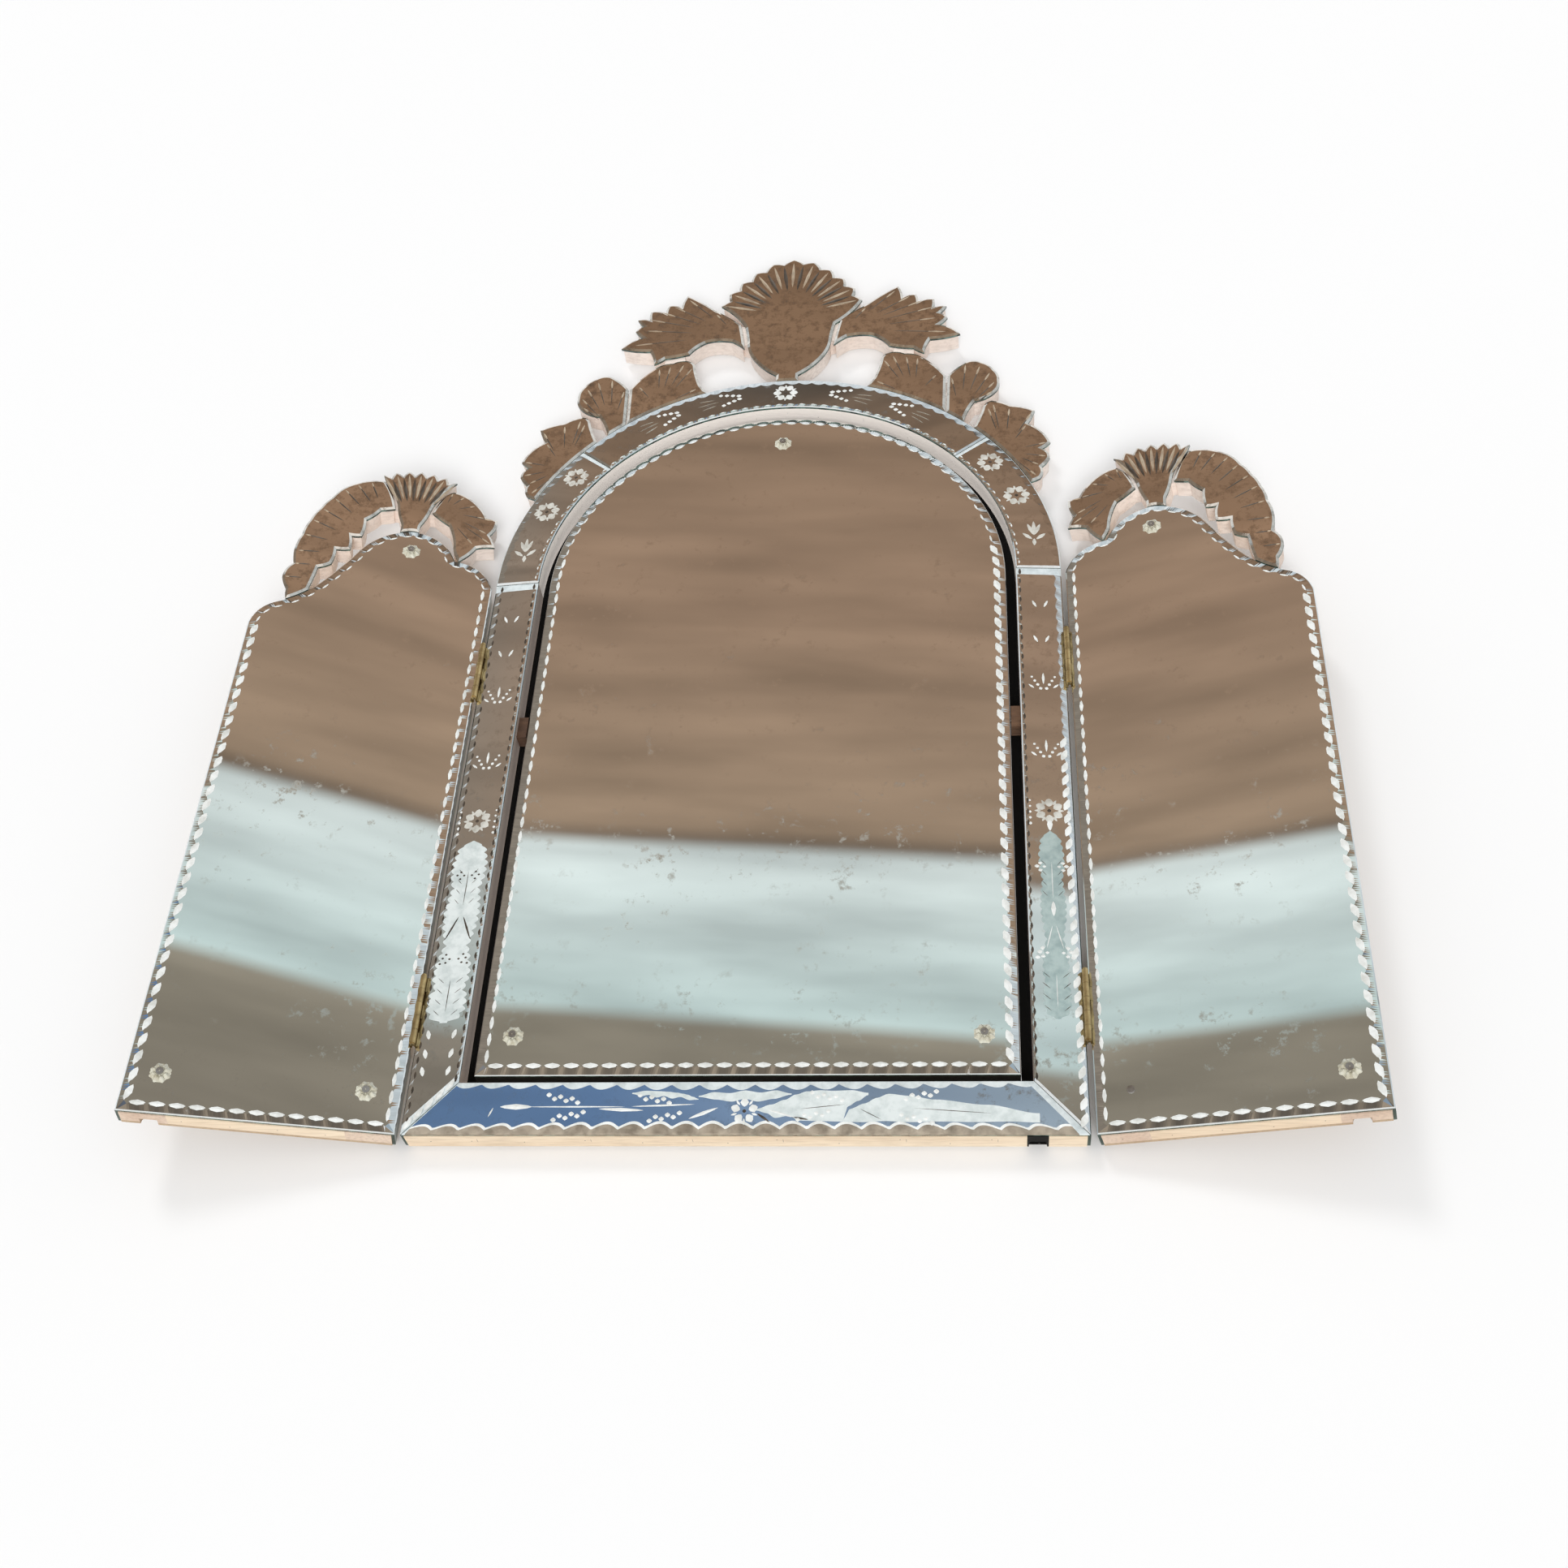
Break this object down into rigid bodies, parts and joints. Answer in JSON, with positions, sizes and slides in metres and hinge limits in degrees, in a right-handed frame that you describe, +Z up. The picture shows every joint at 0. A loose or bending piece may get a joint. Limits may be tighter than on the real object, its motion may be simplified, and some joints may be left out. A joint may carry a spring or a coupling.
{
  "type": "triptych dressing mirror",
  "caption": "Freestanding Venetian dressing mirror: arched centre frame of engraved mirror strips on wood, leaf and shell crest, tilting bevelled plate, and hinged side wings with crests.",
  "frame": {"origin": "on the ground at the middle of the centre frame's bottom face", "axes": "+X along the width to the viewer's right, the mirror fronts face -Y, +Z up"},
  "size_m": [1.1282, 0.0797, 1.19],
  "materials": {
    "plate_mirror": "silvered plate glass with a scalloped bevel, lightly aged",
    "strip_mirror": "silvered glass strips, bevelled and engraved with flowers and leaves, aged",
    "crest_mirror": "silvered glass cut to leaves and shells, engraved veins, foxed silvering",
    "side_mirror": "narrow dark green mirror strips on the outer sides",
    "rosette_glass": "pressed cream glass rosettes",
    "carcass_wood": "bare pale softwood, aged",
    "fret_wood": "bare pinkish wood, sawn edges",
    "block_wood": "dark stained hardwood",
    "plywood": "plain plywood, aged",
    "hinge_brass": "tarnished brass",
    "steel": "plain zinc-plated steel, dulled"
  },
  "bodies": {
    "centre_frame": {"frame_stile_left": "carcass_wood", "frame_stile_right": "carcass_wood", "frame_bottom_rail": "carcass_wood", "frame_arch_left": "carcass_wood", "frame_arch_right": "carcass_wood", "strip_bottom": "strip_mirror", "strip_left": "strip_mirror", "strip_right": "strip_mirror", "strip_haunch_left": "strip_mirror", "strip_haunch_right": "strip_mirror", "strip_crown": "strip_mirror", "frame_side_glass": "side_mirror", "pivot_blocks": "block_wood", "crest_fret": "fret_wood", "haunch_frets": "fret_wood", "crest_shell_glass": "crest_mirror", "crest_leaf_glass_left": "crest_mirror", "crest_leaf_glass_right": "crest_mirror", "crest_lower_glass_left": "crest_mirror", "crest_lower_glass_right": "crest_mirror", "haunch_leaf_glass": "crest_mirror", "crest_plates": "steel", "frame_screws": "steel", "hinge_frame_leaves": "hinge_brass", "hinge_pins": "hinge_brass"},
    "swing_mirror": {"swing_board": "plywood", "swing_glass": "plate_mirror", "swing_rosettes": "rosette_glass", "swing_screws": "steel", "pivot_pins": "steel"},
    "wing_left": {"wing_left_inner_stile": "carcass_wood", "wing_left_outer_stile": "carcass_wood", "wing_left_bottom_rail": "carcass_wood", "wing_left_top_rail": "carcass_wood", "wing_left_back": "plywood", "wing_left_glass": "plate_mirror", "wing_left_side_glass": "side_mirror", "wing_left_fret": "fret_wood", "wing_left_shell_glass": "crest_mirror", "wing_left_leaf_glass": "crest_mirror", "wing_left_plates": "steel", "wing_left_rosettes": "rosette_glass", "wing_left_screws": "steel", "wing_left_hinge_leaves": "hinge_brass"},
    "wing_right": {"wing_right_inner_stile": "carcass_wood", "wing_right_outer_stile": "carcass_wood", "wing_right_bottom_rail": "carcass_wood", "wing_right_top_rail": "carcass_wood", "wing_right_back": "plywood", "wing_right_glass": "plate_mirror", "wing_right_side_glass": "side_mirror", "wing_right_fret": "fret_wood", "wing_right_shell_glass": "crest_mirror", "wing_right_leaf_glass": "crest_mirror", "wing_right_plates": "steel", "wing_right_rosettes": "rosette_glass", "wing_right_screws": "steel", "wing_right_hinge_leaves": "hinge_brass"}
  },
  "joints": [
    {"name": "swing_tilt", "type": "hinge", "parent": "centre_frame", "child": "swing_mirror", "pos_m": [0, 0.001, 0.466], "axis": [1, 0, 0], "range_deg": [-25, 25]},
    {"name": "wing_left_fold", "type": "hinge", "parent": "centre_frame", "child": "wing_left", "pos_m": [-0.312, -0.017, 0.3315], "axis": [0, 0, 1], "range_deg": [-12, 78]},
    {"name": "wing_right_fold", "type": "hinge", "parent": "centre_frame", "child": "wing_right", "pos_m": [0.312, -0.017, 0.3315], "axis": [0, 0, -1], "range_deg": [-12, 78]}
  ]
}
